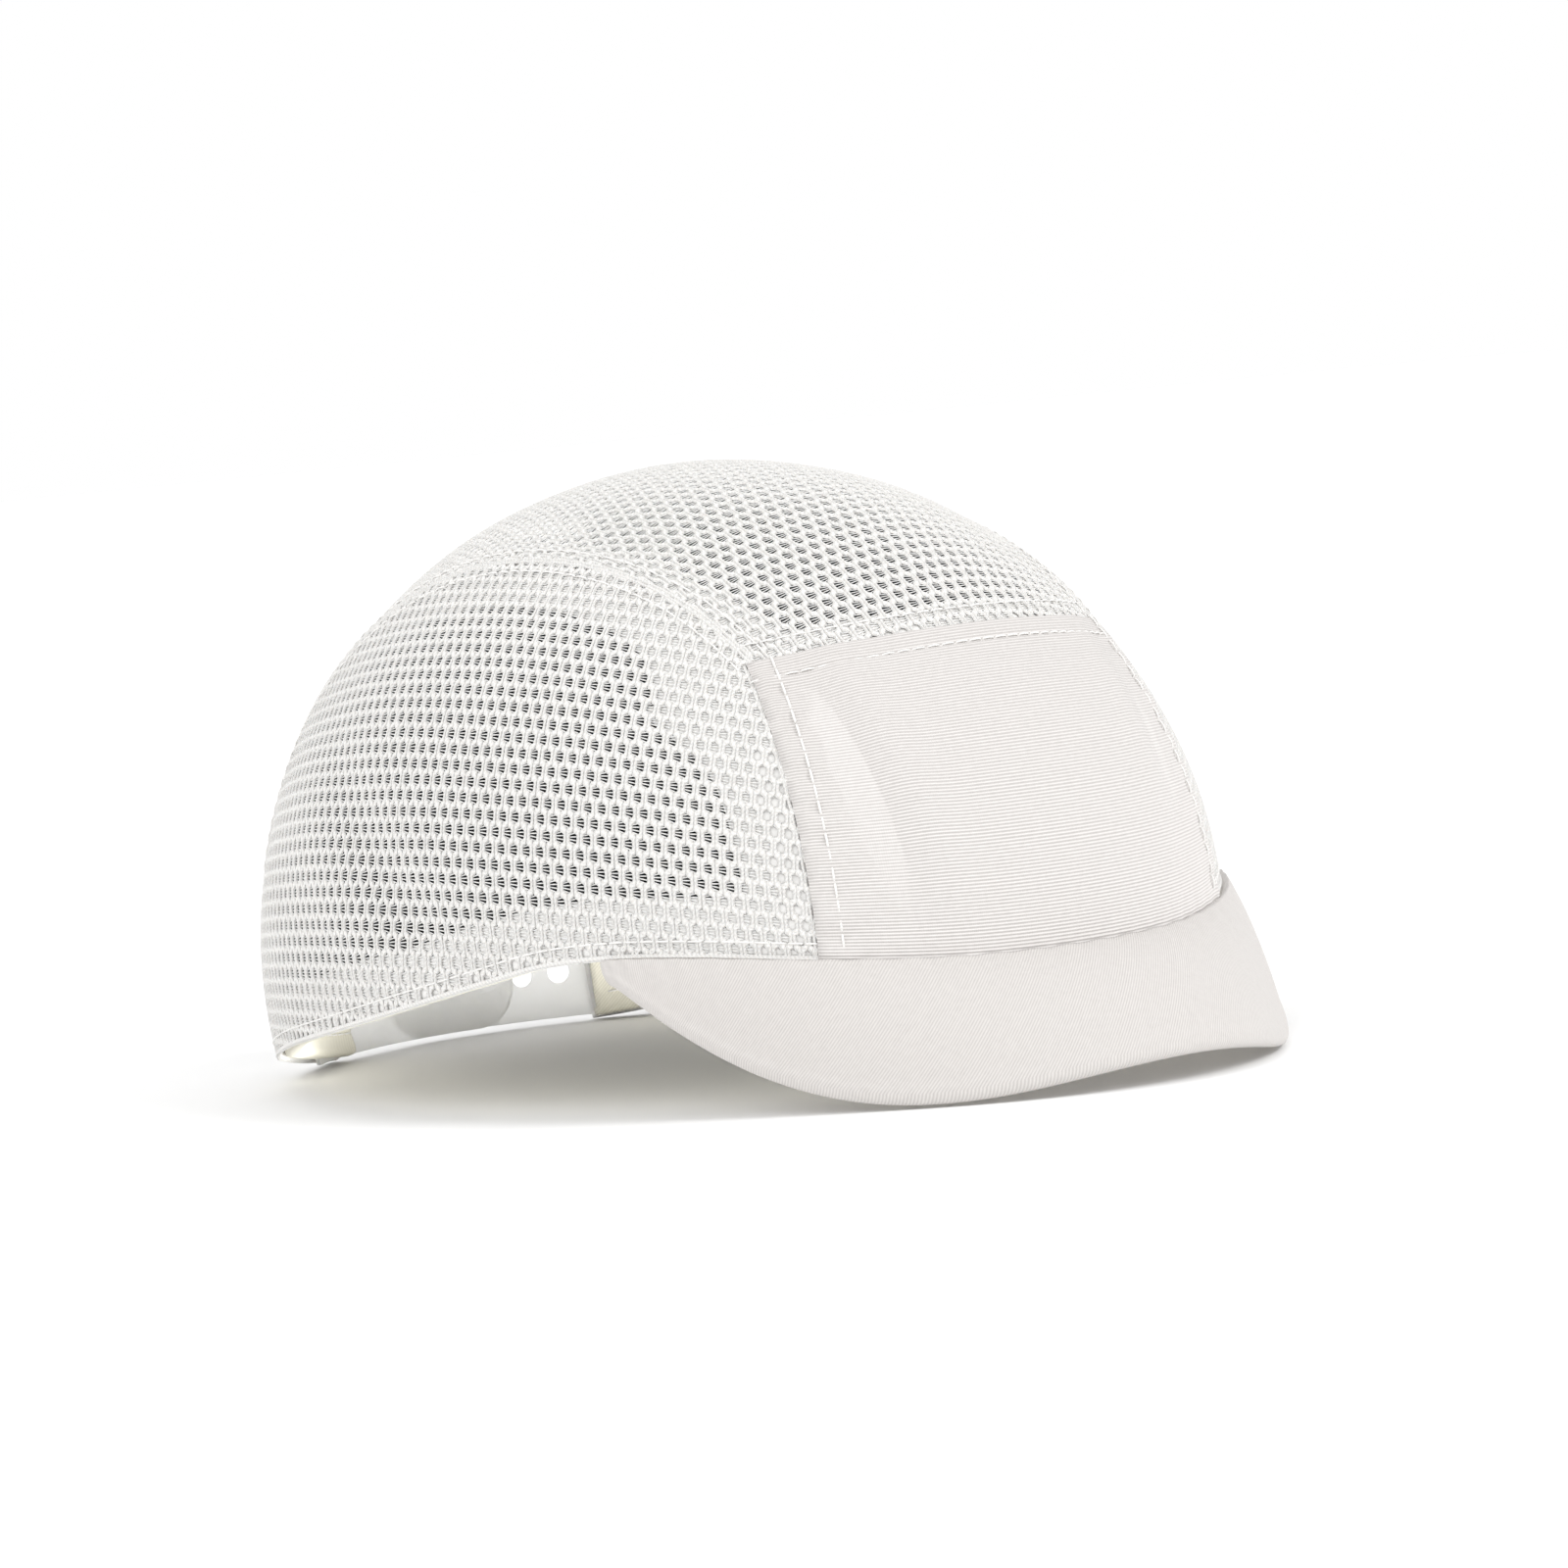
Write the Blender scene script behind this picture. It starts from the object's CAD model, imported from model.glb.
import math
import bpy
import numpy as np
from mathutils import Matrix, Vector


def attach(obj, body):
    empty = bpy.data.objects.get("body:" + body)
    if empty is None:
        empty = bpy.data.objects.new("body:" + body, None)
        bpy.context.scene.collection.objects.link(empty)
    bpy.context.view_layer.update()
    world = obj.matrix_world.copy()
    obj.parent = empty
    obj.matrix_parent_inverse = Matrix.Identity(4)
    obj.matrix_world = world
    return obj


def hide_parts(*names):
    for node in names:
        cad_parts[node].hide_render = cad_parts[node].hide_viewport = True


# A white bump cap: knitted net panels, a ribbed front panel and a cloth peak over a dark vented shell.
# Lengths are in millimetres until a mesh is made, in the CAD model's frame: +Z up, peak along -Y.

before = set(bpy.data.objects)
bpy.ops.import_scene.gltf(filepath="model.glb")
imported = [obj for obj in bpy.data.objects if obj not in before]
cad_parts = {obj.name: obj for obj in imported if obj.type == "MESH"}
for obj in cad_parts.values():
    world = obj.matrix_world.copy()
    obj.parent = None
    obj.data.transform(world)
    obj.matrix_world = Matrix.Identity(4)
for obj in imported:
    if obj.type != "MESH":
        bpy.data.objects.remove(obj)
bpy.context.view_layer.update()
MM = 0.001
TINY = 1e-9

# ---- the crown, as in the CAD model ----
HALF = np.array([92.0, 112.0, 100.0])
CENTRE = np.array([0.0, 15.2, 24.0])
CORNER = (44.0, -70.0)
SIDE_SEAM_END = (60.0, 83.0)
FRONT_SEAM_END = (51.0, -95.0)
CORNER_Z = 61.7
FRONT_EDGE_RISE = 0.227
RIM_Y = np.array([-125.0, -112, -95, -75, -60, -47, -33, -11, 14, 50, 80, 100, 112, 125])
RIM_Z = np.array([25.0, 25.5, 28, 30.5, 31, 30, 27, 22, 17, 10.5, 4.2, 0.3, -0.6, -0.8])
ARCH_HALF_WIDTH = 36.0
ARCH_SPRING = 22.0
ARCH_RISE = 24.0
FAR = 99.0

# ---- soft shape of the cloth: seam ridge, crease with a swell beside it, and waves ----
SEAM_FADE = 12.0
RIDGE_HEIGHT = 0.7
RIDGE_WIDTH = 5.0
RIDGE_LOWEST = 20.0
CREASE_Y = -6.0
CREASE_Z = 22.0
CREASE_SLOPE = (0.62, 0.79)
CREASE_DEPTH = 1.5
CREASE_WIDTH = 7.0
CREASE_LENGTH = 34.0
SWELL_HEIGHT = 0.9
SWELL_GAP = 15.0
SWELL_WIDTH = 10.0
SWELL_LENGTH = 40.0
WAVE_HEIGHT = 0.25
WAVE_RATE = (0.11, 0.083, 0.09)
WAVE_SHIFT = (1.0, 0.4)

# ---- knitted net ----
PITCH = 3.2
ROW = 3.35
HOLE_HALF_WIDTH = 0.85
STRAND_HALF_WIDTH = 0.4
STRAND_SPREAD = 0.46
STRAND_SWING = 0.43
STRAND_SQUARENESS = 2.6
STRAND_CROSSING = 0.45
STRAND_HALF_THICKNESS = 0.29
STRAND_STEP = 0.42
STRAND_SIDES = 6
STRAND_LEAST_STEPS = 3
STRAND_PLACES = ((0.25, np.pi), (0.75, 0.0))
WOBBLE = 0.05
WOBBLE_RATE = 0.9
WOBBLE_SHIFT = 2.1
RUNG_SIDES = 4
RUNG_RADIUS = 0.135
RUNG_FLATNESS = 0.9
RUNG_OVERLAP = 0.25
RUNG_OFFSETS = (-1.02, -0.34, 0.34, 1.02)
RUNG_FAN = 0.32
RUNG_CLEAR = 1.5
RUNG_DEPTH = 0.08
NET_DEPTH = 0.5
NET_TUCK = 0.8
RIM_CLEAR = 0.35
ARCH_CLEAR = 0.5
SIDE_TILT = 14.0
SIDE_LEAN = 0.155
SIDE_ACROSS = (-112, 112)
SIDE_UP = (-52, 84)
TOP_ACROSS = (-66, 66)
TOP_BACK = (-92, 200)
LEAST_AREA_SHARE = 0.31

# ---- stretched holes beside the front panel, which have no rungs ----
OPEN_BEFORE_Y = -76
OPEN_BELOW_Z = 45
OPEN_WIDTH = 6.5

# ---- front panel ----
FRONT_RIB = 0.65
FRONT_RIB_HEIGHT = 0.09
FRONT_HALF_WIDTH = 50.0
FRONT_HEIGHT = 66.0
FRONT_ROWS = 420
FRONT_COLS = 56
FRONT_LAP = 1.0
FRONT_OUTER = -0.15
FRONT_INNER = 0.25
STITCH_INSET = 4.7

# ---- features of the front panel's surface: height, place and width ----
ROLL_DIP = (-0.3, 0.0, 0.35)
ROLL_RISE = (0.25, 1.6, 1.3)
STITCH_DIMPLE = (-0.22, STITCH_INSET, 0.5)
SIDE_PUCKER = (0.26, 2.5, 3.5)
PUCKER_RATE = 0.75
PUCKER_SWING = 1.2
PUCKER_SWING_RATE = 0.21
HEM_PUCKER = (0.16, 0.0, 5.0)
HEM_PUCKER_RATE = 60.0
FOLD = (1.5, 15.0, 5.0)
FOLD_LEAN = 0.16
FOLD_REACH = (1.0, 36.0, 26.0)
FURROW = (1.1, 8.0, 4.0)
FURROW_LEAN = 0.12
FURROW_REACH = (1.0, 34.0, 24.0)
FAR_FOLD_SHARE = 0.5


# ================= curves and crown surface =================

def bell(distance, width):
    """1 at no distance, fading to 0 beyond a width."""
    return np.exp(-(distance / width) ** 2)


def feature(distance, height, place, width):
    """A smooth rise or dip of a height and width about a place."""
    return height * bell(distance - place, width)


def run_along(points):
    """Distance along a curve from its first point to each of its points."""
    steps = np.linalg.norm(np.diff(points, axis=0), axis=1)
    return np.concatenate([[0], np.cumsum(steps)])


def rim_height(y):
    """Rim height above the ground at y from the crown's centre, smooth through the rim's points."""
    y = np.clip(y, RIM_Y[0], RIM_Y[-1])
    slopes = np.gradient(RIM_Z, RIM_Y)
    k = np.clip(np.searchsorted(RIM_Y, y) - 1, 0, len(RIM_Y) - 2)
    span = RIM_Y[k + 1] - RIM_Y[k]
    t = (y - RIM_Y[k]) / span
    ease = t * t * (3 - 2 * t)
    curve = t * (1 - t) * ((1 - t) * slopes[k] * span - t * slopes[k + 1] * span)
    return RIM_Z[k] * (1 - ease) + RIM_Z[k + 1] * ease + curve


def seam_side(x, y):
    """Plan distance outside the top and front-side seams; positive is on a side panel."""
    x = np.abs(x)

    def outside(start, end):
        run = np.array([end[0] - start[0], end[1] - start[1]])
        run = run / np.hypot(*run)
        return (x - start[0]) * abs(run[1]) - (y - start[1]) * run[0] * np.sign(run[1])
    top = outside(CORNER, SIDE_SEAM_END)
    front = outside(CORNER, FRONT_SEAM_END)
    return np.where(y < CORNER[1], front, top)


def front_edge_height(y):
    """Height above the crown's centre of the front panel's top edge."""
    return CORNER_Z + FRONT_EDGE_RISE * (CORNER[1] - y)


def arch_distance(x, y, z):
    """Rough distance outside the rear opening, in the back view."""
    up = np.maximum(z - ARCH_SPRING, 0)
    r = np.hypot(x / ARCH_HALF_WIDTH, up / ARCH_RISE)
    return np.where(y > 0, (r - 1) * 0.5 * (ARCH_HALF_WIDTH + ARCH_RISE), FAR)


def relief(unit):
    """Soft shape of the cloth over the ideal crown: raised seams, a crease and a few waves."""
    x, y, z = (unit * HALF).T
    outside = seam_side(x, y)
    behind_corner = np.clip((y - CORNER[1]) / SEAM_FADE, 0, 1)
    ridge = RIDGE_HEIGHT * bell(outside, RIDGE_WIDTH) * behind_corner * (z > RIDGE_LOWEST)
    run, rise = CREASE_SLOPE
    across = (y - CREASE_Y) * run - (z - CREASE_Z) * rise
    along = (y - CREASE_Y) * rise + (z - CREASE_Z) * run
    crease = CREASE_DEPTH * bell(across, CREASE_WIDTH) * bell(along, CREASE_LENGTH)
    swell = SWELL_HEIGHT * bell(across - SWELL_GAP, SWELL_WIDTH) * bell(along, SWELL_LENGTH)
    waves = np.sin(x * WAVE_RATE[0] + WAVE_SHIFT[0]) * np.sin(y * WAVE_RATE[1] + WAVE_SHIFT[1])
    side = np.clip(outside / SEAM_FADE, 0, 1)
    return ridge + side * (swell - crease) + WAVE_HEIGHT * waves * np.sin(z * WAVE_RATE[2])


def crown(unit, depth):
    """Points on the crown for unit directions, at a depth below the outer face, in the row frame."""
    return CENTRE + unit * (HALF + (relief(unit) - depth)[..., None])


def crown_normal(unit):
    n = unit / HALF
    return n / np.linalg.norm(n, axis=-1, keepdims=True)


def to_unit(points):
    """Unit directions of points given about the crown's centre."""
    u = points / HALF
    return u / np.linalg.norm(u, axis=-1, keepdims=True)


# ================= mesh helpers =================
CLOTH_UV = "cloth"


def make_piece(name, verts, faces, material, uv=None):
    """A smooth mesh object on the cap from millimetre vertices; uv is one (u, v) pair per vertex."""
    mesh = bpy.data.meshes.new(name)
    mesh.from_pydata((np.asarray(verts) * MM).tolist(), [], [list(f) for f in faces])
    if uv is not None:
        layer = mesh.uv_layers.new(name=CLOTH_UV)
        loops = np.zeros(len(mesh.loops), int)
        mesh.loops.foreach_get("vertex_index", loops)
        layer.data.foreach_set("uv", np.asarray(uv)[loops].astype(np.float32).ravel())
    mesh.validate()
    obj = bpy.data.objects.new(name, mesh)
    bpy.context.scene.collection.objects.link(obj)
    mesh.materials.append(material)
    mesh.polygons.foreach_set("use_smooth", [True] * len(mesh.polygons))
    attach(obj, "cap")
    return obj


def grid_faces(rows, cols, start=0, wrap=False, flip=False):
    """Quads of a rows x cols grid of vertices; wrap closes each row on itself."""
    last = cols if wrap else cols - 1
    r, c = np.meshgrid(np.arange(rows - 1), np.arange(last), indexing="ij")
    a = start + r * cols + c
    b = start + r * cols + (c + 1) % cols
    d = a + cols
    e = b + cols
    quads = np.stack([a, b, e, d], -1).reshape(-1, 4)
    return quads[:, ::-1] if flip else quads


def closed_sheet(outer, inner):
    """Vertices and faces of a closed sheet between two equal grids (rows, cols, 3)."""
    rows, cols = outer.shape[:2]
    count = rows * cols
    verts = np.concatenate([outer.reshape(-1, 3), inner.reshape(-1, 3)])
    faces = [grid_faces(rows, cols), grid_faces(rows, cols, count, flip=True)]
    index = np.arange(count).reshape(rows, cols)
    edge = np.concatenate([index[0, :], index[1:, -1], index[-1, -2::-1], index[-2:0:-1, 0]])
    following = np.roll(edge, -1)
    faces.append(np.stack([edge, edge + count, following + count, following], -1))
    return verts, np.concatenate(faces)


class Tubes:
    """Gathers many flattened tubes into one mesh."""

    def __init__(self, sides):
        self.sides = sides
        self.verts = []
        self.faces = []
        self.caps = []
        self.uvs = []
        self.count = 0
        self.length = 0.0

    def add(self, path, normal, half_width, half_thickness):
        """One capped tube along a path, flat to the surface whose normals are given."""
        n = len(path)
        tangent = np.gradient(path, axis=0)
        tangent /= np.linalg.norm(tangent, axis=1, keepdims=True) + TINY
        across = np.cross(tangent, normal)
        across /= np.linalg.norm(across, axis=1, keepdims=True) + TINY
        up = np.cross(across, tangent)
        angle = np.arange(self.sides) * 2 * np.pi / self.sides
        width = np.broadcast_to(half_width, n)[:, None, None]
        height = np.broadcast_to(half_thickness, n)[:, None, None]
        ring = (path[:, None] + across[:, None] * (np.cos(angle)[:, None] * width)
                + up[:, None] * (np.sin(angle)[:, None] * height))
        run = run_along(path)
        self.length += run[-1]
        around = np.arange(self.sides) / self.sides
        uv = np.stack(np.broadcast_arrays(around[None, :], run[:, None]), -1)
        self.verts.append(ring.reshape(-1, 3))
        self.uvs.append(uv.reshape(-1, 2))
        self.faces.append(grid_faces(n, self.sides, self.count, wrap=True))
        first = self.count + np.arange(self.sides)
        self.caps += [list(first[::-1]), list(first + (n - 1) * self.sides)]
        self.count += n * self.sides

    def piece(self, name, material, slot):
        faces = [list(f) for f in np.concatenate(self.faces)] + self.caps
        return make_piece(name, np.concatenate(self.verts), faces, material, np.concatenate(self.uvs))


# ================= materials =================
# Pieces with a cloth UV map have their pattern in millimetres, the others in metres.

def new_material(name, roughness, sheen=0.0, subsurface=0.0):
    mat = bpy.data.materials.new(name)
    mat.use_nodes = True
    shader = mat.node_tree.nodes["Principled BSDF"]
    shader.inputs["Roughness"].default_value = roughness
    shader.inputs["Sheen Weight"].default_value = sheen
    shader.inputs["Sheen Roughness"].default_value = 0.5
    shader.inputs["Subsurface Weight"].default_value = subsurface
    shader.inputs["Subsurface Radius"].default_value = (0.004, 0.0035, 0.003)
    return mat, mat.node_tree, shader


def math_node(tree, operation, *values):
    """Output of a math node whose inputs are numbers or other nodes' outputs."""
    node = tree.nodes.new("ShaderNodeMath")
    node.operation = operation
    for socket, value in zip(node.inputs, values):
        if isinstance(value, (int, float)):
            socket.default_value = value
        else:
            tree.links.new(value, socket)
    return node.outputs[0]


def times(tree, value, factor):
    return math_node(tree, "MULTIPLY", value, factor)


def plus(tree, value, other, share=1.0):
    """A value plus a share of another."""
    return math_node(tree, "ADD", value, times(tree, other, share))


def position(tree, uv_name=None):
    """A UV map, or the place in the object's own space."""
    if uv_name is None:
        return tree.nodes.new("ShaderNodeTexCoord").outputs["Object"]
    source = tree.nodes.new("ShaderNodeUVMap")
    source.uv_map = uv_name
    return source.outputs["UV"]


def axes(tree, uv_name=None):
    """X, Y and Z of a position."""
    split = tree.nodes.new("ShaderNodeSeparateXYZ")
    tree.links.new(position(tree, uv_name), split.inputs[0])
    return split.outputs["X"], split.outputs["Y"], split.outputs["Z"]


def stripe(tree, value, per_unit):
    """A 0 to 1 sine stripe along a coordinate."""
    wave = math_node(tree, "SINE", times(tree, value, 2 * math.pi * per_unit))
    return math_node(tree, "MULTIPLY_ADD", wave, 0.5, 0.5)


def noise(tree, scale, detail=3.0):
    node = tree.nodes.new("ShaderNodeTexNoise")
    node.inputs["Scale"].default_value = scale
    node.inputs["Detail"].default_value = detail
    tree.links.new(position(tree), node.inputs["Vector"])
    return node.outputs["Fac"]


def bump(tree, shader, height, strength, distance):
    node = tree.nodes.new("ShaderNodeBump")
    node.inputs["Strength"].default_value = strength
    node.inputs["Distance"].default_value = distance
    tree.links.new(height, node.inputs["Height"])
    tree.links.new(node.outputs["Normal"], shader.inputs["Normal"])


def tint(tree, shader, factor, dark, light):
    """Colour between two tones by a factor."""
    ramp = tree.nodes.new("ShaderNodeValToRGB")
    ramp.color_ramp.elements[0].color = (*dark, 1)
    ramp.color_ramp.elements[1].color = (*light, 1)
    tree.links.new(factor, ramp.inputs["Fac"])
    tree.links.new(ramp.outputs["Color"], shader.inputs["Base Color"])


def net_material():
    """Knitted yarn: fine filaments along each strand, stitch by stitch."""
    mat, tree, shader = new_material("net_yarn", roughness=0.75, sheen=0.25, subsurface=0.08)
    around, along, _ = axes(tree, CLOTH_UV)
    filaments = stripe(tree, around, per_unit=6.0)
    stitches = stripe(tree, plus(tree, along, around, share=1.6), per_unit=1.15)
    bump(tree, shader, plus(tree, filaments, stitches, share=0.8), strength=0.8, distance=0.00016)
    tone = plus(tree, times(tree, noise(tree, scale=260.0), 0.5), stitches, share=0.5)
    tint(tree, shader, tone, dark=(0.74, 0.725, 0.7), light=(0.92, 0.91, 0.89))
    return mat


def rung_material():
    """The fine threads across each hole of the net."""
    mat, tree, shader = new_material("net_rungs", roughness=0.6, sheen=0.2, subsurface=0.1)
    bump(tree, shader, noise(tree, scale=3000.0), strength=0.3, distance=0.00005)
    tint(tree, shader, noise(tree, scale=300.0), dark=(0.88, 0.87, 0.85), light=(0.95, 0.945, 0.93))
    return mat


def ribbed_material():
    """The front panel's cloth: fine crosswise threads on ribs that the mesh carries."""
    mat, tree, shader = new_material("front_cloth", roughness=0.78, sheen=0.2)
    across, up, _ = axes(tree, CLOTH_UV)
    warp = stripe(tree, across, per_unit=2.6)
    weft = stripe(tree, up, per_unit=1.0 / FRONT_RIB)
    fleck = noise(tree, scale=900.0)
    bump(tree, shader, plus(tree, fleck, warp, share=0.35), strength=0.35, distance=0.00006)
    tone = plus(tree, times(tree, weft, 0.75), fleck, share=0.3)
    tint(tree, shader, tone, dark=(0.502, 0.478, 0.461), light=(0.801, 0.775, 0.756))
    return mat


def twill_material(name, dark, light, lines_per_mm=1.5):
    """Fine diagonal twill."""
    mat, tree, shader = new_material(name, roughness=0.8, sheen=0.2)
    across, up, _ = axes(tree, CLOTH_UV)
    lines = stripe(tree, plus(tree, across, up, share=0.9), lines_per_mm)
    cross = stripe(tree, math_node(tree, "SUBTRACT", across, up), per_unit=2.2)
    bump(tree, shader, plus(tree, lines, cross, share=0.3), strength=0.4, distance=0.0001)
    tone = plus(tree, times(tree, lines, 0.7), noise(tree, scale=800.0), share=0.35)
    tint(tree, shader, tone, dark, light)
    return mat


def tape_material():
    """Plain woven tape."""
    mat, tree, shader = new_material("tape_cloth", roughness=0.85, sheen=0.2)
    _, along, up = axes(tree)
    weave = times(tree, stripe(tree, up, per_unit=1600.0), stripe(tree, along, per_unit=1600.0))
    bump(tree, shader, weave, strength=0.3, distance=0.0001)
    tint(tree, shader, noise(tree, scale=500.0), dark=(0.84, 0.83, 0.81), light=(0.93, 0.92, 0.905))
    return mat


def thread_material():
    """Sewing thread, with its ply."""
    mat, tree, shader = new_material("sewing_thread", roughness=0.5, sheen=0.1)
    around, along, _ = axes(tree, CLOTH_UV)
    ply = stripe(tree, plus(tree, around, along, share=2.0), per_unit=2.0)
    bump(tree, shader, ply, strength=0.5, distance=0.00008)
    tint(tree, shader, ply, dark=(0.86, 0.84, 0.81), light=(0.96, 0.955, 0.945))
    return mat


def shell_material():
    """Dark moulded ABS with a fine leather-like grain."""
    mat, tree, shader = new_material("shell_abs", roughness=0.5)
    bump(tree, shader, noise(tree, scale=1400.0, detail=5.0), strength=0.35, distance=0.0001)
    tint(tree, shader, noise(tree, scale=60.0), dark=(0.009, 0.009, 0.011), light=(0.02, 0.02, 0.023))
    return mat


def foam_material():
    """Dark foam with open cells."""
    mat, tree, shader = new_material("foam", roughness=0.95, sheen=0.1)
    cells = tree.nodes.new("ShaderNodeTexVoronoi")
    cells.inputs["Scale"].default_value = 1500.0
    tree.links.new(position(tree), cells.inputs["Vector"])
    bump(tree, shader, cells.outputs["Distance"], strength=0.5, distance=0.0002)
    tint(tree, shader, noise(tree, scale=200.0), dark=(0.035, 0.035, 0.04), light=(0.075, 0.075, 0.08))
    return mat


def strap_material():
    """Soft translucent white plastic."""
    mat, tree, shader = new_material("strap_plastic", roughness=0.5, subsurface=0.4)
    shader.inputs["Subsurface Radius"].default_value = (0.006, 0.006, 0.0055)
    shader.inputs["Transmission Weight"].default_value = 0.5
    shader.inputs["IOR"].default_value = 1.2
    bump(tree, shader, noise(tree, scale=900.0), strength=0.08, distance=0.0001)
    tint(tree, shader, noise(tree, scale=90.0), dark=(0.9, 0.895, 0.88), light=(0.96, 0.96, 0.95))
    return mat


def board_material():
    """The peak's stiff insert."""
    mat, tree, shader = new_material("board_plastic", roughness=0.45)
    bump(tree, shader, noise(tree, scale=700.0), strength=0.1, distance=0.0001)
    tint(tree, shader, noise(tree, scale=120.0), dark=(0.76, 0.76, 0.76), light=(0.84, 0.84, 0.84))
    return mat


NET = net_material()
RUNGS = rung_material()
RIBBED = ribbed_material()
PEAK_TWILL = twill_material("peak_twill", (0.497, 0.472, 0.454), (0.708, 0.681, 0.658))
BAND_TWILL = twill_material("band_twill", (0.7, 0.67, 0.56), (0.86, 0.835, 0.72), lines_per_mm=1.2)
TAPE_CLOTH = tape_material()
THREAD = thread_material()
SHELL = shell_material()
FOAM = foam_material()
STRAP = strap_material()
BOARD = board_material()


# ================= knitted net =================

def side_map(side):
    """Panel coordinates (p rearward, q upward) to unit directions, about a side panel's middle."""
    tilt = math.radians(SIDE_TILT)
    middle = np.array([side * math.cos(tilt), 0, math.sin(tilt)])
    rear = np.array([0, 1.0, 0])
    up = np.array([-side * math.sin(tilt), 0, math.cos(tilt)])

    def place(p, q):
        turn_p = p / HALF[1]
        turn_q = q / HALF[2]
        turn = np.hypot(turn_p, turn_q) + TINY
        step = np.sin(turn) / turn
        return (np.cos(turn)[..., None] * middle + (step * turn_p)[..., None] * rear
                + (step * turn_q)[..., None] * up)
    return place


def top_map(p, q):
    """Panel coordinates (p leftward, q rearward) to unit directions, along the crown's middle line."""
    turn = p / HALF[0]
    back = q / (0.5 * (HALF[1] + HALF[2]))
    return np.stack([np.sin(turn), np.cos(turn) * np.sin(back), np.cos(turn) * np.cos(back)], -1)


def inside_hems(x, y, z):
    """Whether crown-centred places are above the rim and outside the rear opening."""
    height = z + CENTRE[2]
    return (height > rim_height(y) + RIM_CLEAR) & (arch_distance(x, y, height) > ARCH_CLEAR)


def on_side(unit):
    x, y, z = (unit * HALF).T
    return (seam_side(x, y) > -NET_TUCK) & inside_hems(x, y, z)


def on_top(unit):
    x, y, z = (unit * HALF).T
    on_front_panel = (y < 0) & (z < front_edge_height(y) - NET_TUCK)
    return (seam_side(x, y) < NET_TUCK) & ~on_front_panel & inside_hems(x, y, z)


def near_front_seam(unit):
    x, y, z = (unit * HALF).T
    return (y < OPEN_BEFORE_Y) & (seam_side(x, y) < OPEN_WIDTH) & (z < OPEN_BELOW_Z)


def nowhere(unit):
    return np.zeros(len(unit), bool)


def strand_shape(t, centre, phase):
    """Sideways place and half-width of one strand at t along it, where a period is two rows."""
    wave = np.cos(np.pi * t / ROW + phase)
    square = np.tanh(STRAND_SQUARENESS * wave) / math.tanh(STRAND_SQUARENESS)
    half_width = STRAND_HALF_WIDTH + STRAND_SPREAD * bell(wave, STRAND_CROSSING)
    return centre + STRAND_SWING * square, half_width


def net(name, place, inside, across, up, lean, parts, without_rungs):
    """One net panel's strands and rungs, in parts side by side; returns the first part's strands."""
    t = np.linspace(up[0], up[1], int((up[1] - up[0]) / STRAND_STEP))
    columns = np.arange(int(across[0] / PITCH) - 1, int(across[1] / PITCH) + 2)
    bounds = np.linspace(across[0], across[1], parts + 1)
    part_of = np.clip(np.searchsorted(bounds, columns * PITCH, side="right") - 1, 0, parts - 1)
    first_parts = []
    for part in range(parts):
        strands = Tubes(STRAND_SIDES)
        rungs = Tubes(RUNG_SIDES)
        for column in columns[part_of == part]:
            middle = column * PITCH
            for quarter, phase in STRAND_PLACES:
                p, half_width = strand_shape(t, middle + quarter * PITCH, phase)
                p = p + lean * t + WOBBLE * np.sin(t * WOBBLE_RATE + column * WOBBLE_SHIFT)
                add_runs(strands, place(p, t), inside, half_width)
            add_rungs(rungs, place, inside, middle, up, lean, without_rungs)
        pieces = [strands.piece(f"{name}_net_{part + 1}", NET, "mesh_net"),
                  rungs.piece(f"{name}_net_rungs_{part + 1}", RUNGS, "mesh_net")]
        width = (bounds[part + 1] - bounds[part] + 2 * PITCH) * MM
        net_sheet(strands.length, width, (up[1] - up[0]) * MM)
        first_parts.append(pieces[0])
    return first_parts[0]


def add_runs(tubes, unit, inside, half_width):
    """Adds the stretches of one strand that lie on the panel."""
    mask = inside(unit)
    edges = np.flatnonzero(np.diff(np.concatenate([[0], mask.astype(int), [0]])))
    path = crown(unit, NET_DEPTH)
    normal = crown_normal(unit)
    for begin, end in zip(edges[::2], edges[1::2]):
        if end - begin > STRAND_LEAST_STEPS:
            tubes.add(path[begin:end], normal[begin:end], half_width[begin:end], STRAND_HALF_THICKNESS)


def add_rungs(tubes, place, inside, column, up, lean, without_rungs):
    """Thin threads across each hole of one column and its staggered neighbour."""
    reach = HOLE_HALF_WIDTH + RUNG_OVERLAP
    sideways = np.array([-reach, 0.0, reach])
    for row in range(int(up[0] / ROW), int(up[1] / ROW) + 1):
        middle = column + (0.5 * PITCH if row % 2 == 0 else 0.0)
        height = row * ROW
        hole = place(np.array([middle + lean * height]), np.array([height]))
        ends = np.array([height - RUNG_CLEAR, height + RUNG_CLEAR])
        if not inside(place(middle + lean * ends, ends)).all() or without_rungs(hole)[0]:
            continue
        for k, offset in enumerate(RUNG_OFFSETS):
            q = height + offset * (1 - RUNG_FAN * sideways / reach)
            unit = place(middle + sideways + lean * q, q)
            depth = NET_DEPTH + RUNG_DEPTH + WOBBLE * math.sin(row * 5.0 + k * 2.0 + column)
            tubes.add(crown(unit, depth), crown_normal(unit), RUNG_RADIUS, RUNG_RADIUS * RUNG_FLATNESS)


def net_sheet(strand_length, width, length):
    """Declares a net piece as cloth: each strand stands for half a pitch of its width."""
    area = strand_length * PITCH / 2 * MM * MM
    area = min(max(area, LEAST_AREA_SHARE * width * length), width * length)


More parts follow.
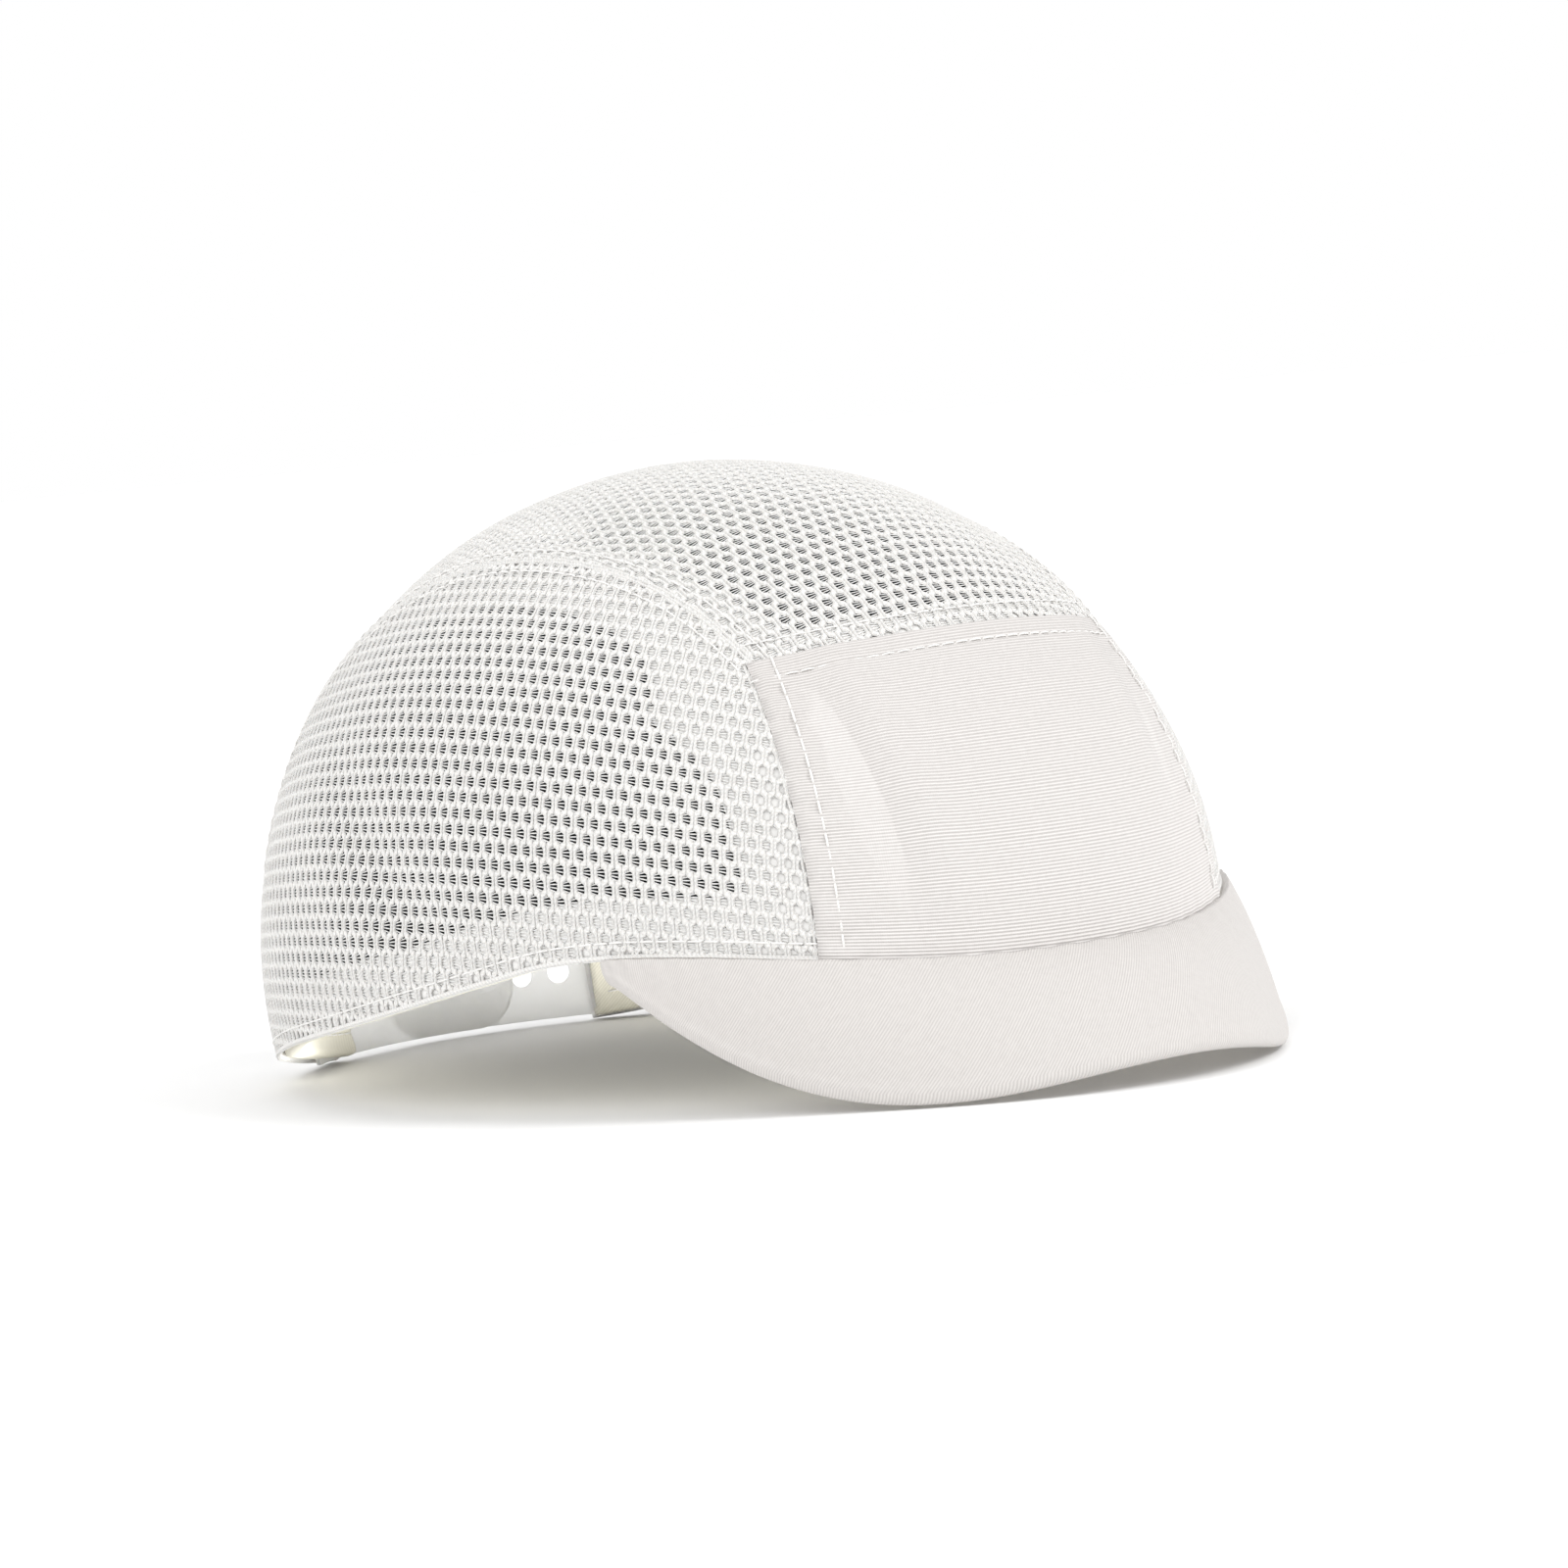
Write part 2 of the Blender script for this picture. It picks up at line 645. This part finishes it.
def build_nets():
    for side, name in ((-1, "right"), (1, "left")):
        panel = net(name + "_side", side_map(side), on_side, SIDE_ACROSS, SIDE_UP, SIDE_LEAN, 2,
                    near_front_seam)
        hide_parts("side_mesh_panel_" + name)
    panel = net("top", top_map, on_top, TOP_ACROSS, TOP_BACK, 0.0, 3, nowhere)
    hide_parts("top_mesh_panel")


# ================= front panel =================
# Points on both the crown and a curve in plan are found by a few rounds of stepping between them.
SEAM_FIRST_Y = -85.0
SEAM_ROUNDS = 8
PANEL_FIRST_Y = -90.0
PANEL_ROUNDS = 12
LEAST_SQUARE = 0.01


def settle_y(x, z):
    """Y on the front of the crown at a crown-centred x and z."""
    flat = 1 - (z / HALF[2]) ** 2
    return -HALF[1] * np.sqrt(np.maximum(flat - (x / HALF[0]) ** 2, LEAST_SQUARE))


def front_seam_x(y):
    """X of the front-side seam at y, in plan."""
    share = (CORNER[1] - y) / (CORNER[1] - FRONT_SEAM_END[1])
    return CORNER[0] + (FRONT_SEAM_END[0] - CORNER[0]) * share


def front_seam_y(z):
    """Y of the front-side seam at a height above the crown's centre."""
    y = np.full_like(z, SEAM_FIRST_Y)
    for _ in range(SEAM_ROUNDS):
        y = settle_y(front_seam_x(y), z)
    return y


def front_points(across, up):
    """Crown-centred points of the front panel; across is -1 to 1, up is 0 at the rim and 1 at the top."""
    y = np.full_like(across, PANEL_FIRST_Y)
    for _ in range(PANEL_ROUNDS):
        low = rim_height(y) - CENTRE[2]
        z = low + (front_edge_height(y) - low) * up
        x = across * (front_seam_x(front_seam_y(z)) + FRONT_LAP)
        y = settle_y(x, z)
    return np.stack([x, y, z], -1)


def front_relief(across, up):
    """Ribs, rolled edges, stitch dimples, puckers and a soft fold, in millimetres."""
    height = up * FRONT_HEIGHT
    side = (1 - np.abs(across)) * FRONT_HALF_WIDTH
    top = (1 - up) * FRONT_HEIGHT
    edge = np.minimum(side, top)
    ribs = FRONT_RIB_HEIGHT * np.cos(2 * np.pi * height / FRONT_RIB)
    hems = feature(edge, *ROLL_DIP) + feature(edge, *ROLL_RISE) + feature(edge, *STITCH_DIMPLE)
    gather = np.sin(height * PUCKER_RATE + PUCKER_SWING * np.sin(height * PUCKER_SWING_RATE))
    puckers = feature(side, *SIDE_PUCKER) * gather
    puckers += feature(height, *HEM_PUCKER) * np.sin(across * HEM_PUCKER_RATE)
    fold = feature(side - FOLD_LEAN * top, *FOLD) * feature(height, *FOLD_REACH)
    fold -= feature(side - FURROW_LEAN * top, *FURROW) * feature(height, *FURROW_REACH)
    return ribs + hems + puckers + fold * np.where(across < 0, 1.0, FAR_FOLD_SHARE)


def front_surface(across, up, depth):
    """Front panel points in the row frame, at a depth below the crown's face."""
    points = front_points(across, up)
    return CENTRE + points - crown_normal(to_unit(points)) * depth[..., None]


def build_front_panel():
    up, across = np.meshgrid(np.linspace(0, 1, FRONT_ROWS), np.linspace(-1, 1, FRONT_COLS), indexing="ij")
    lift = front_relief(across, up)
    outer = front_surface(across, up, FRONT_OUTER - lift)
    inner = front_surface(across, up, np.full_like(lift, FRONT_INNER))
    verts, faces = closed_sheet(outer, inner)
    uv = np.stack([across * FRONT_HALF_WIDTH, up * FRONT_HEIGHT], -1).reshape(-1, 2)
    panel = make_piece("front_panel_cloth", verts, faces, RIBBED, np.concatenate([uv, uv]))
    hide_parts("front_panel")


# ================= seams: strips, rolls and stitches along curves on the crown =================
# A stitch is a list of shares of its pitch and the thread's height above the cloth at each.
OUTER_STITCH = (np.array([0.05, 0.14, 0.5, 0.86, 0.95]), np.array([-0.45, 0.0, 0.16, 0.0, -0.45]))
INNER_STITCH = (np.array([0.08, 0.5, 0.92]), np.array([0.3, -0.12, 0.3]))
STITCH_PITCH = 3.3
STITCH_RADIUS = 0.2
CORNER_REACH = 11.0
WIDENING_REACH = 15.0
RIM_ROUNDS = 20
RIM_END = 157
HEM_TAPE_START = 33
HEM_ROLL_START = 32


class Seam:
    """A curve on the crown, given by points about its centre, with a sideways direction."""

    def __init__(self, points, outward):
        self.points = np.asarray(points)
        self.unit = to_unit(self.points)
        tangent = np.gradient(self.points, axis=0)
        tangent /= np.linalg.norm(tangent, axis=1, keepdims=True)
        across = np.cross(tangent, crown_normal(self.unit))
        middle = len(across) // 2
        self.across = across if np.dot(across[middle], outward) > 0 else -across

    def place(self, offset, depth):
        """Points and normals beside the curve, at a sideways offset and a depth below the face."""
        offset = np.broadcast_to(offset, len(self.points))
        unit = to_unit(self.points + self.across * offset[:, None])
        return crown(unit, np.broadcast_to(depth, len(self.points))), crown_normal(unit)

    def sweep(self, name, profile, material, slot, width=1.0):
        """A solid whose closed (offset, depth) profile follows the curve; width scales the offsets."""
        grid = np.stack([self.place(offset * width, depth)[0] for offset, depth in profile], 1)
        rows, cols = grid.shape[:2]
        run = run_along(self.points)
        offsets = np.array([offset for offset, _ in profile])
        uv = np.stack(np.broadcast_arrays(offsets[None, :], run[:, None]), -1).reshape(-1, 2)
        faces = [list(f) for f in grid_faces(rows, cols, wrap=True)]
        faces.append(list(range(cols))[::-1])
        faces.append(list(range((rows - 1) * cols, rows * cols)))
        return make_piece(name, grid.reshape(-1, 3), faces, material, uv)

    def strand(self, tubes, offset, depth, half_width, half_thickness):
        path, normal = self.place(offset, depth)
        tubes.add(path, normal, half_width, half_thickness)

    def stitches(self, tubes, offset, lift=0.0, depth=0.0, shape=OUTER_STITCH, radius=STITCH_RADIUS,
                 flatness=0.85):
        """Topstitching: short arched threads that dive into the cloth between stitches."""
        path, normal = self.place(offset, depth)
        run = run_along(path)
        share, rise = shape
        for k in range(int(run[-1] / STITCH_PITCH)):
            at = (k + share) * STITCH_PITCH
            thread = np.stack([np.interp(at, run, path[:, i]) for i in range(3)], 1)
            facing = np.stack([np.interp(at, run, normal[:, i]) for i in range(3)], 1)
            tubes.add(thread + facing * (rise + lift)[:, None], facing, radius, radius * flatness)


def plane_curve(end, side, end_turn, count):
    """The crown's section by the upright plane from the panels' corner to a seam's end in plan."""
    start = np.array(CORNER)
    run = np.array(end) - start
    run /= np.hypot(*run)
    plan_half = HALF[:2]
    a = np.sum((run / plan_half) ** 2)
    b = np.sum(start * run / plan_half ** 2)
    k = 1 - np.sum((start / plan_half) ** 2) + b * b / a
    cosine = (b / a) / math.sqrt(k / a)
    turn = np.linspace(math.acos(min(max(cosine, -1.0), 1.0)), end_turn, count)
    s = -b / a + math.sqrt(k / a) * np.cos(turn)
    return np.stack([side * (start[0] + run[0] * s), start[1] + run[1] * s,
                     HALF[2] * math.sqrt(k) * np.sin(turn)], 1)


def above_hem(points, margin):
    """The first stretch of a curve that stays above the rim by a margin."""
    clear = points[:, 2] + CENTRE[2] > rim_height(points[:, 1]) + margin
    stop = len(clear) if clear.all() else int(np.argmin(clear))
    return points[:stop]


def top_seam(side, margin=0.0):
    points = plane_curve(SIDE_SEAM_END, side, end_turn=-0.6, count=420)
    return Seam(above_hem(points, margin), (side, 0, 0))


def front_seam(side, margin=0.0):
    points = plane_curve(FRONT_SEAM_END, side, end_turn=-0.3, count=200)
    return Seam(above_hem(points, margin), (side, 0, 0))


def top_edge(count=160):
    """The front panel's top edge."""
    return Seam(front_points(np.linspace(-1, 1, count), np.ones(count)), (0, 0, 1))


def rim_curve(start, stop, count):
    """The rim by bearing in degrees: 0 at the front, positive towards the wearer's left."""
    points = []
    for bearing in np.radians(np.linspace(start, stop, count)):
        z = 0.0
        for _ in range(RIM_ROUNDS):
            flat = math.sqrt(1 - (z / HALF[2]) ** 2)
            x = HALF[0] * flat * math.sin(bearing)
            y = -HALF[1] * flat * math.cos(bearing)
            z = float(rim_height(np.array(y))) - CENTRE[2]
        points.append((x, y, z))
    return Seam(points, (0, 0, 1))


def arch_curve(foot=0.5, leg_steps=23, turn_steps=160):
    """The edge of the rear opening, from the right foot over the top to the left foot."""
    straight = np.linspace(foot, ARCH_SPRING, leg_steps + 1)[:-1]
    turn = np.linspace(np.pi, 0, turn_steps)
    leg = np.full(leg_steps, ARCH_HALF_WIDTH)
    x = np.concatenate([-leg, ARCH_HALF_WIDTH * np.cos(turn), leg])
    z = np.concatenate([straight, ARCH_SPRING + ARCH_RISE * np.sin(turn), straight[::-1]]) - CENTRE[2]
    y = HALF[1] * np.sqrt(1 - (x / HALF[0]) ** 2 - (z / HALF[2]) ** 2)
    return Seam(np.stack([x, y, z], 1), (0, 0, 1))


def widening(seam, extra):
    """Width factors that grow towards the start of a seam, at the panels' corner."""
    return 1 + extra * bell(run_along(seam.points), WIDENING_REACH)


def tape(seam, name, node, low, high, outer, inner=1.4, extra=0.0, steps=8):
    """A flat tape beside a seam, from offset low to high, between an outer and an inner depth."""
    face = [(offset, outer) for offset in np.linspace(low, high, steps)]
    back = [(offset, inner) for offset in np.linspace(high, low, steps)]
    piece = seam.sweep(name, face + back, TAPE_CLOTH, "tape", widening(seam, extra))
    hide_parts(node)


def build_tapes():
    for side, name in ((-1, "right"), (1, "left")):
        tape(top_seam(side, CORNER_REACH), "top_seam_tape_cloth_" + name, "top_seam_tape_" + name,
             low=-6, high=12, outer=0.82, extra=0.75)
        tape(front_seam(side, CORNER_REACH), "front_side_tape_cloth_" + name, "front_side_tape_" + name,
             low=-6, high=14, outer=0.86, inner=1.5, extra=0.65)
        hem = rim_curve(side * HEM_TAPE_START, side * RIM_END, 200)
        tape(hem, "hem_tape_cloth_" + name, "hem_tape_" + name, low=0.4, high=12, outer=0.8)
    tape(top_edge(), "front_edge_tape_cloth", "front_edge_tape", low=-2, high=6, outer=0.8)


# Closed (offset, depth) outlines: a folded binding, and a padded band with turned edges.
BINDING_PROFILE = [(0.2, -0.7), (3, -0.75), (6, -0.72), (7.8, -0.55), (8.0, -0.15), (7.0, -0.05),
                   (3, -0.05), (0.3, -0.05), (-0.3, 0.5), (0.3, 1.1), (3, 1.12), (7.6, 1.12), (8.0, 1.5),
                   (6, 1.7), (3, 1.72), (0.2, 1.7), (-0.9, 1.45), (-1.4, 0.5), (-0.9, -0.4)]
BINDING_STITCH = 6.2
BAND_PROFILE = [(0.4, 2.2), (0.0, 3.6), (0.1, 5.2), (0.6, 6.0), (2, 6.15), (4, 5.95), (5, 5.8), (6, 6.1),
                (12, 6.3), (20, 6.3), (26, 6.15), (28, 5.8), (29, 6.1), (30.6, 6.2), (31.2, 5.4),
                (30.6, 4.7), (26, 4.7), (16, 4.7), (6, 4.7), (2, 4.6), (1.6, 2.2)]
BAND_STITCHES = (4.9, 28.0)
BAND_FACE = 6.05


def build_binding():
    arch = arch_curve()
    binding = arch.sweep("arch_binding_cloth", BINDING_PROFILE, TAPE_CLOTH, "tape")
    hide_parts("arch_binding")
    tubes = Tubes(6)
    arch.stitches(tubes, BINDING_STITCH, lift=0.72)
    tubes.piece("arch_stitches", THREAD, "tape")


def build_sweatband():
    band = rim_curve(-RIM_END, RIM_END, 420)
    cloth = band.sweep("sweatband_cloth", BAND_PROFILE, BAND_TWILL, "sweatband_cloth")
    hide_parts("sweatband")
    tubes = Tubes(5)
    for offset in BAND_STITCHES:
        band.stitches(tubes, offset, depth=BAND_FACE, shape=INNER_STITCH, flatness=0.9)
    tubes.piece("sweatband_stitches", THREAD, "sweatband_cloth")


def build_seam_threads():
    """Topstitching, seam ridges, the rolled hem and the selvedge beside the front panel."""
    threads = Tubes(6)
    rolls = Tubes(8)
    edge = top_edge()
    edge.stitches(threads, -STITCH_INSET, lift=0.1)
    edge.stitches(threads, 4.4, lift=-0.2)
    for side in (-1, 1):
        seam = front_seam(side)
        seam.stitches(threads, FRONT_LAP - STITCH_INSET, lift=0.26, radius=0.24)
        seam.strand(rolls, 1.7, depth=0.55, half_width=0.42, half_thickness=0.3)
        ridge = top_seam(side)
        for edge_side in (-1, 1):
            ridge.stitches(threads, edge_side * 3.2, lift=-0.25)
            ridge.strand(rolls, edge_side * 0.4, depth=0.45, half_width=0.4, half_thickness=0.3)
        hem = rim_curve(side * HEM_ROLL_START, side * RIM_END, 200)
        hem.strand(rolls, 0.5, depth=0.55, half_width=0.6, half_thickness=0.5)
        hem.stitches(threads, 3.4, lift=-0.3)
    threads.piece("crown_stitches", THREAD, "mesh_net")
    rolls.piece("seam_rolls", NET, "mesh_net")


# ================= foam pads =================
PAD_OUTER = 4.5
PAD_THICKNESS = 4.9
PAD_EDGE_START = 0.8
PAD_EDGE_DROP = 0.75
PAD_CROWNING = 0.06
PAD_PULL = 0.3
PAD_GRID = (49, 33)


def pillow(name, node, middle, size, along):
    """A soft foam pad under the shell, with rounded corners and edges."""
    middle = np.array(middle, float)
    middle /= np.linalg.norm(middle)
    normal = crown_normal(middle)
    along = np.array(along, float) - normal * np.dot(along, normal)
    along /= np.linalg.norm(along)
    other = np.cross(normal, along)
    u, v = np.meshgrid(np.linspace(-1, 1, PAD_GRID[0]), np.linspace(-1, 1, PAD_GRID[1]), indexing="ij")
    x = u * np.sqrt(1 - PAD_PULL * v ** 4) * size[0] / 2
    y = v * np.sqrt(1 - PAD_PULL * u ** 8) * size[1] / 2
    flat = middle * (HALF - PAD_OUTER) + x[..., None] * along + y[..., None] * other
    unit = to_unit(flat)
    edge = np.maximum(np.abs(u), np.abs(v))
    rounding = np.clip((edge - PAD_EDGE_START) / (1 - PAD_EDGE_START), 0, 1) ** 3
    swell = (1 - rounding * PAD_EDGE_DROP) * (1 - PAD_CROWNING * edge ** 2)
    inner = CENTRE + unit * (HALF - (PAD_OUTER + PAD_THICKNESS * swell)[..., None])
    outer = CENTRE + unit * (HALF - PAD_OUTER)
    verts, faces = closed_sheet(outer, inner)
    piece = make_piece(name, verts, faces[:, ::-1], FOAM)
    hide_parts(node)


def build_pads():
    pillow("crown_pad_foam", "crown_pad", middle=(0, 0, 1), size=(84, 60), along=(0, 1, 0))
    pillow("front_pad_foam", "front_pad", middle=(0, -0.79, 0.613), size=(84, 28), along=(1, 0, 0))
    pillow("rear_pad_foam", "rear_pad", middle=(0, 0.83, 0.559), size=(60, 24), along=(1, 0, 0))
    for side, name in ((-1, "right"), (1, "left")):
        pillow("side_pad_foam_" + name, "side_pad_" + name,
               middle=(side * 0.807, 0, 0.59), size=(64, 33), along=(0, 1, 0))


# ================= peak =================
PEAK_FRONT_Y = -139.0
PEAK_REAR_Y = -62.0
PEAK_SQUARENESS = 1.8
PEAK_FRONT_Z = 5.5
PEAK_REAR_Z = 26.5
PEAK_DROOP = 6.6
PEAK_OUTER_X = 78.5
PEAK_END_X = 78.0
PEAK_BULGE = 3.0
PEAK_SEAM_DROP = 0.4
PEAK_HALF_THICKNESS = 1.35
PEAK_ROLL = 1.6
PEAK_ROLL_SWELL = (0.4, 0.15)
PEAK_WELT = 0.25
PEAK_WELT_INSET = 2.2
PEAK_WELT_WIDTH = 1.1
PEAK_PUCKER = 0.12
PEAK_PUCKER_REACH = 6.0
PEAK_PUCKER_RATE = 95
PEAK_COLUMNS = 221
PEAK_ROWS = 42
PEAK_ROLL_STEPS = 13
PEAK_UV_HALF = 125
PEAK_UV_EDGE = 1.5
PEAK_UV_UNDER = 4
PEAK_FIRST_Z = 28.0
PEAK_ROUNDS = 12


def peak_rim(turn):
    """Point of the peak's seam on the rim; turn is 0 at the middle and a quarter turn at its end."""
    x = PEAK_END_X * np.sin(turn)
    z = np.full_like(x, PEAK_FIRST_Z)
    for _ in range(PEAK_ROUNDS):
        flat = 1 - ((z - CENTRE[2]) / HALF[2]) ** 2
        y = -HALF[1] * np.sqrt(np.maximum(flat - (x / HALF[0]) ** 2, 0))
        z = rim_height(y) - PEAK_SEAM_DROP
    return np.stack([x, y, z], -1)


def peak_outline(turn):
    """Point of the peak's outer edge."""
    x = PEAK_OUTER_X * np.sin(turn)
    y = PEAK_REAR_Y + (PEAK_FRONT_Y - PEAK_REAR_Y) * np.maximum(np.cos(turn), 0) ** PEAK_SQUARENESS
    z = PEAK_FRONT_Z + (PEAK_REAR_Z - PEAK_FRONT_Z) * np.sin(turn) ** 5
    return np.stack([x, y, z - PEAK_DROOP * np.sin(2 * turn) ** 2], -1)


def peak_middle(u, v):
    """Points of the peak's middle surface; u is -1 to 1 across, v is 0 at the seam and 1 at the edge."""
    side = np.where(u < 0, -1.0, 1.0)
    turn = np.abs(u) * np.pi / 2
    inner = peak_rim(turn)
    slope = peak_outline(turn) - inner
    length = np.hypot(slope[..., 1], slope[..., 2])
    bulge = PEAK_BULGE * np.cos(turn) * 4 * v * (1 - v)
    point = inner + slope * v[..., None]
    point[..., 1] += bulge * slope[..., 2] / length
    point[..., 2] -= bulge * slope[..., 1] / length
    point[..., 0] *= side
    return point + np.array([0, CENTRE[1], 0])


def peak_normals(u, v, step=0.01):
    along_u = peak_middle(np.minimum(u + step, 1), v) - peak_middle(np.maximum(u - step, -1), v)
    along_v = peak_middle(u, v + step) - peak_middle(u, v - step)
    n = -np.cross(along_u, along_v)
    return n / np.linalg.norm(n, axis=-1, keepdims=True)


def peak_face(u, width, v, side):
    """One row of the cloth's top (side 1) or underside (side -1), with its welt and small puckers."""
    place = v * (1 - PEAK_ROLL / width)
    half = PEAK_HALF_THICKNESS + PEAK_WELT * bell((1 - place) * width - PEAK_WELT_INSET, PEAK_WELT_WIDTH)
    pucker = PEAK_PUCKER * bell(place * width, PEAK_PUCKER_REACH) * np.sin(u * PEAK_PUCKER_RATE) * (side > 0)
    return peak_middle(u, place) + peak_normals(u, place) * (side * half + pucker)[:, None]


def peak_roll(u, width, angle):
    """One row of the rolled edge, at an angle about its middle."""
    place = 1 - PEAK_ROLL / width
    centre = peak_middle(u, place)
    outward = peak_middle(u, np.ones_like(u)) - centre
    outward /= np.linalg.norm(outward, axis=-1, keepdims=True)
    reach = PEAK_ROLL + PEAK_ROLL_SWELL[0]
    half = PEAK_HALF_THICKNESS + PEAK_ROLL_SWELL[1]
    return centre + peak_normals(u, place) * math.sin(angle) * half + outward * math.cos(angle) * reach


def build_peak():
    """The cloth skin of the peak: top, rolled edge and underside in one closed wrap."""
    u = np.linspace(-1, 1, PEAK_COLUMNS)
    width = np.linalg.norm(peak_middle(u, np.ones_like(u)) - peak_middle(u, np.zeros_like(u)), axis=-1)
    steps = np.linspace(0, 1, PEAK_ROWS)
    angles = np.linspace(0.5 * np.pi, -0.5 * np.pi, PEAK_ROLL_STEPS)[1:-1]
    rows = ([peak_face(u, width, v, 1.0) for v in steps]
            + [peak_roll(u, width, angle) for angle in angles]
            + [peak_face(u, width, v, -1.0) for v in steps[::-1]])
    runs = ([v * width for v in steps]
            + [width + PEAK_UV_EDGE - angle for angle in angles]
            + [(2 - v) * width + PEAK_UV_UNDER for v in steps[::-1]])
    uv = np.concatenate([np.stack([u * PEAK_UV_HALF, run], -1) for run in runs])
    index = np.arange(len(rows) * PEAK_COLUMNS).reshape(len(rows), PEAK_COLUMNS)
    faces = [list(f) for f in grid_faces(len(rows), PEAK_COLUMNS)]
    for c in range(PEAK_COLUMNS - 1):
        faces.append([index[-1, c], index[-1, c + 1], index[0, c + 1], index[0, c]])
    faces.append(list(index[:, 0]))
    faces.append(list(index[::-1, -1]))
    skin = make_piece("peak_cloth", np.concatenate(rows), faces, PEAK_TWILL, uv)
    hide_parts("peak_top_cover", "peak_under_cover", "peak_edge_fold")


# ================= carried CAD nodes =================

def dress(node, material):
    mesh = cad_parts[node].data
    mesh.materials.clear()
    mesh.materials.append(material)


def dress_nodes():
    dress("inner_shell", SHELL)
    dress("peak_board", BOARD)
    for strap in ("hole_strap", "stud_strap", "strap_sewn_end_right", "strap_sewn_end_left"):
        dress(strap, STRAP)


# ================= stage, light and camera =================
FLOOR_HALF = 6.0
VIEW_AZIMUTH = -38.0
VIEW_ELEVATION = 4.0
VIEW_ROLL = 4.9
VIEW_DISTANCE = 1400.0
FRAME_WIDTH = 325.0
SENSOR_WIDTH = 36.0
CLIP_START = 0.05
AIM_RIGHT = 9.8
AIM_UP = 32.5


def build_stage():
    mesh = bpy.data.meshes.new("floor")
    corners = [(-FLOOR_HALF, -FLOOR_HALF, 0), (FLOOR_HALF, -FLOOR_HALF, 0),
               (FLOOR_HALF, FLOOR_HALF, 0), (-FLOOR_HALF, FLOOR_HALF, 0)]
    mesh.from_pydata(corners, [], [(0, 1, 2, 3)])
    floor = bpy.data.objects.new("floor", mesh)
    bpy.context.scene.collection.objects.link(floor)
    mat, tree, shader = new_material("floor_white", roughness=0.9)
    tint(tree, shader, noise(tree, scale=3.0), dark=(0.95, 0.95, 0.95), light=(0.96, 0.96, 0.96))
    mesh.materials.append(mat)


def new_light(name, kind, power, direction):
    """A light that shines along a direction."""
    data = bpy.data.lights.new(name, kind)
    data.energy = power
    light = bpy.data.objects.new(name, data)
    light.rotation_euler = Vector(direction).to_track_quat("-Z", "Y").to_euler()
    bpy.context.scene.collection.objects.link(light)
    return light


def build_light():
    world = bpy.data.worlds.new("studio")
    bpy.context.scene.world = world
    world.use_nodes = True
    background = world.node_tree.nodes["Background"]
    background.inputs["Color"].default_value = (1, 1, 1, 1)
    background.inputs["Strength"].default_value = 1.0
    key = new_light("key", "SUN", power=0.95, direction=(-0.45, 0.8, -0.9))
    key.data.angle = math.radians(25)
    side = new_light("side", "SUN", power=0.55, direction=(0.95, -0.1, -0.7))
    side.data.angle = math.radians(40)
    fill = new_light("under_fill", "AREA", power=0.22, direction=(0, 0, 1))
    fill.data.size = 0.12
    fill.location = (0, 0.03, 0.001)


def build_camera():
    azimuth = math.radians(VIEW_AZIMUTH)
    elevation = math.radians(VIEW_ELEVATION)
    roll = math.radians(VIEW_ROLL)
    back = Vector((math.sin(azimuth) * math.cos(elevation), -math.cos(azimuth) * math.cos(elevation),
                   math.sin(elevation)))
    level = Vector((math.cos(azimuth), math.sin(azimuth), 0))
    upright = back.cross(level)
    right = level * math.cos(roll) - upright * math.sin(roll)
    up = level * math.sin(roll) + upright * math.cos(roll)
    centre = Vector(CENTRE) + right * AIM_RIGHT + up * AIM_UP
    data = bpy.data.cameras.new("view")
    data.sensor_width = SENSOR_WIDTH
    data.lens = SENSOR_WIDTH * VIEW_DISTANCE / FRAME_WIDTH
    data.clip_start = CLIP_START
    camera = bpy.data.objects.new("view", data)
    matrix = Matrix((right, up, back)).transposed().to_4x4()
    matrix.translation = (centre + back * VIEW_DISTANCE) * MM
    camera.matrix_world = matrix
    bpy.context.scene.collection.objects.link(camera)
    bpy.context.scene.camera = camera


build_nets()
build_front_panel()
build_tapes()
build_binding()
build_sweatband()
build_seam_threads()
build_pads()
build_peak()
dress_nodes()
build_stage()
build_light()
build_camera()
bpy.context.scene.view_settings.view_transform = "Standard"
